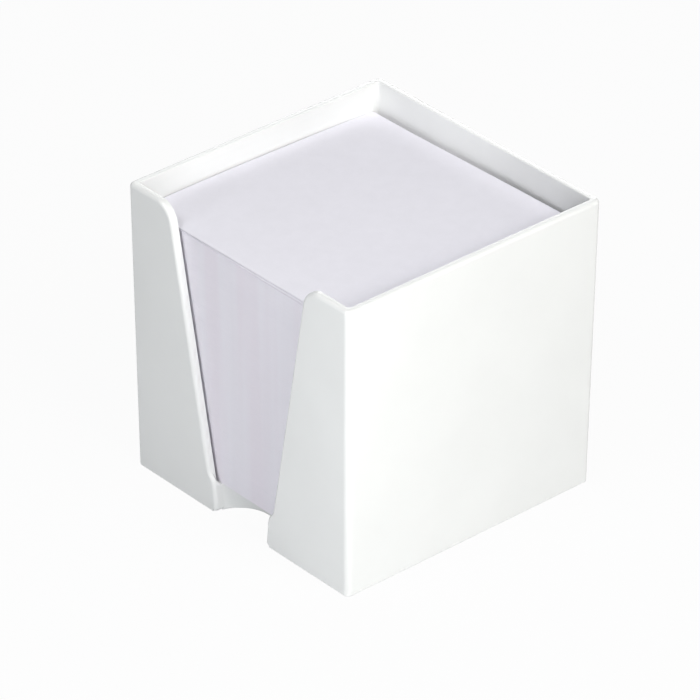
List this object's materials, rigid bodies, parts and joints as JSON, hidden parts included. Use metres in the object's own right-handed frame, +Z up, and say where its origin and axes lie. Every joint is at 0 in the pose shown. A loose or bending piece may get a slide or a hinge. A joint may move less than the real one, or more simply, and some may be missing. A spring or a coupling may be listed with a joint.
{
  "type": "memo holder",
  "caption": "Square open-topped desk box with a V-shaped notch in the front wall and a half-round finger recess at its foot, filled with loose square memo sheets that lift out.",
  "frame": {"origin": "on the desk, under the middle of the box", "axes": "+Z up out of the open top, -Y out of the notched front wall, +X to the right as seen from the front"},
  "size_m": [0.098, 0.098, 0.0975],
  "materials": {
    "holder_plastic": "gloss",
    "sheet_paper": "matte"
  },
  "bodies": {
    "box": {"holder": "holder_plastic"},
    "bundle_1": {"sheet_bundle_1": "sheet_paper"},
    "bundle_2": {"sheet_bundle_2": "sheet_paper"},
    "bundle_3": {"sheet_bundle_3": "sheet_paper"},
    "bundle_4": {"sheet_bundle_4": "sheet_paper"},
    "bundle_5": {"sheet_bundle_5": "sheet_paper"},
    "bundle_6": {"sheet_bundle_6": "sheet_paper"},
    "bundle_7": {"sheet_bundle_7": "sheet_paper"},
    "bundle_8": {"sheet_bundle_8": "sheet_paper"},
    "sheet_1": {"loose_sheet_1": "sheet_paper"},
    "sheet_2": {"loose_sheet_2": "sheet_paper"},
    "sheet_3": {"loose_sheet_3": "sheet_paper"},
    "sheet_4": {"loose_sheet_4": "sheet_paper"}
  },
  "joints": [
    {"name": "lift_bundle_1", "type": "slide", "parent": "box", "child": "bundle_1", "axis": [0, 0, 1], "range_m": [0, 0.0937]},
    {"name": "lift_bundle_2", "type": "slide", "parent": "bundle_1", "child": "bundle_2", "axis": [0, 0, 1], "range_m": [0, 0.0838]},
    {"name": "lift_bundle_3", "type": "slide", "parent": "bundle_2", "child": "bundle_3", "axis": [0, 0, 1], "range_m": [0, 0.0739]},
    {"name": "lift_bundle_4", "type": "slide", "parent": "bundle_3", "child": "bundle_4", "axis": [0, 0, 1], "range_m": [0, 0.064]},
    {"name": "lift_bundle_5", "type": "slide", "parent": "bundle_4", "child": "bundle_5", "axis": [0, 0, 1], "range_m": [0, 0.0541]},
    {"name": "lift_bundle_6", "type": "slide", "parent": "bundle_5", "child": "bundle_6", "axis": [0, 0, 1], "range_m": [0, 0.0442]},
    {"name": "lift_bundle_7", "type": "slide", "parent": "bundle_6", "child": "bundle_7", "axis": [0, 0, 1], "range_m": [0, 0.0343]},
    {"name": "lift_bundle_8", "type": "slide", "parent": "bundle_7", "child": "bundle_8", "axis": [0, 0, 1], "range_m": [0, 0.0244]},
    {"name": "lift_sheet_1", "type": "slide", "parent": "bundle_8", "child": "sheet_1", "axis": [0, 0, 1], "range_m": [0, 0.0145]},
    {"name": "lift_sheet_2", "type": "slide", "parent": "sheet_1", "child": "sheet_2", "axis": [0, 0, 1], "range_m": [0, 0.0144]},
    {"name": "lift_sheet_3", "type": "slide", "parent": "sheet_2", "child": "sheet_3", "axis": [0, 0, 1], "range_m": [0, 0.0143]},
    {"name": "lift_sheet_4", "type": "slide", "parent": "sheet_3", "child": "sheet_4", "axis": [0, 0, 1], "range_m": [0, 0.0142]}
  ]
}
